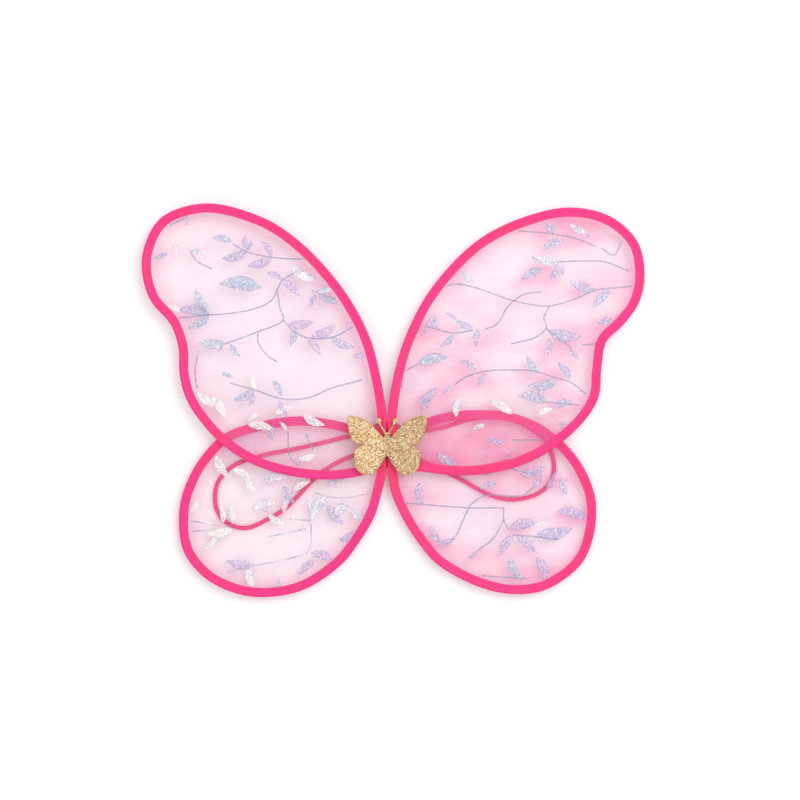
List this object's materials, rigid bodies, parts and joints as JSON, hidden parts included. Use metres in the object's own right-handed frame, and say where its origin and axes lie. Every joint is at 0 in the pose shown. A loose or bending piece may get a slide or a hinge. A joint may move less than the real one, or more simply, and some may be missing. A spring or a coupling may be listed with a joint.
{
  "type": "fairy wings",
  "caption": "Child's dress-up fairy wings: wire-framed sheer wings with satin-bound edges, foil leaf print, glitter butterfly centre and elastic arm loops.",
  "frame": {"origin": "centre of the back pad's lower face, the face that rests on the wearer's back", "axes": "+Z out of the decorated side, away from the wearer; +Y up the wearer's back; X from wing to wing, so -X is the viewer's left"},
  "size_m": [0.503, 0.3942, 0.0172],
  "materials": {
    "felt": "hot-pink pressed felt",
    "foam": "white closed-cell foam",
    "binding_tape": "hot-pink satin bias binding",
    "sheer": "sheer pale-pink organza with iridescent foil leaves",
    "strap_elastic": "hot-pink braided elastic",
    "frame_wire": "galvanised wire",
    "sleeve": "crimped sleeve",
    "glitter": "gold glitter sheet",
    "glue": "clear hot-melt glue"
  },
  "bodies": {
    "centre": {"pad_backing": "felt", "pad_foam": "foam", "pad_cover": "felt", "spine_keepers": "binding_tape", "butterfly_glue": "glue", "butterfly": "glitter", "strap_left": "strap_elastic", "strap_right": "strap_elastic"},
    "lower_left_wing": {"lower_left_wire": "frame_wire", "lower_left_ferrule": "sleeve", "lower_left_binding": "binding_tape", "lower_left_panel": "sheer", "root_wrap_left": "binding_tape"},
    "upper_left_wing": {"upper_left_wire": "frame_wire", "upper_left_ferrule": "sleeve", "upper_left_binding": "binding_tape", "upper_left_panel": "sheer"},
    "lower_right_wing": {"lower_right_wire": "frame_wire", "lower_right_ferrule": "sleeve", "lower_right_binding": "binding_tape", "lower_right_panel": "sheer", "root_wrap_right": "binding_tape"},
    "upper_right_wing": {"upper_right_wire": "frame_wire", "upper_right_ferrule": "sleeve", "upper_right_binding": "binding_tape", "upper_right_panel": "sheer"}
  },
  "joints": [
    {"name": "left_upper_fold", "type": "hinge", "parent": "centre", "child": "upper_left_wing", "pos_m": [-0.0022, 0, 0.0129], "axis": [0, 1, 0], "range_deg": [0, 65], "deforming": ["butterfly"]},
    {"name": "left_lower_fold", "type": "hinge", "parent": "centre", "child": "lower_left_wing", "pos_m": [-0.0022, 0, 0.0129], "axis": [0, 1, 0], "range_deg": [0, 52], "deforming": ["butterfly"]},
    {"name": "right_upper_fold", "type": "hinge", "parent": "centre", "child": "upper_right_wing", "pos_m": [0.0022, 0, 0.0129], "axis": [0, -1, 0], "range_deg": [0, 65], "deforming": ["butterfly"]},
    {"name": "right_lower_fold", "type": "hinge", "parent": "centre", "child": "lower_right_wing", "pos_m": [0.0022, 0, 0.0129], "axis": [0, -1, 0], "range_deg": [0, 52], "deforming": ["butterfly"]}
  ],
  "couplings": [
    {"joint": "left_lower_fold", "follows": "left_upper_fold", "ratio": 0.8},
    {"joint": "right_lower_fold", "follows": "right_upper_fold", "ratio": 0.8}
  ]
}
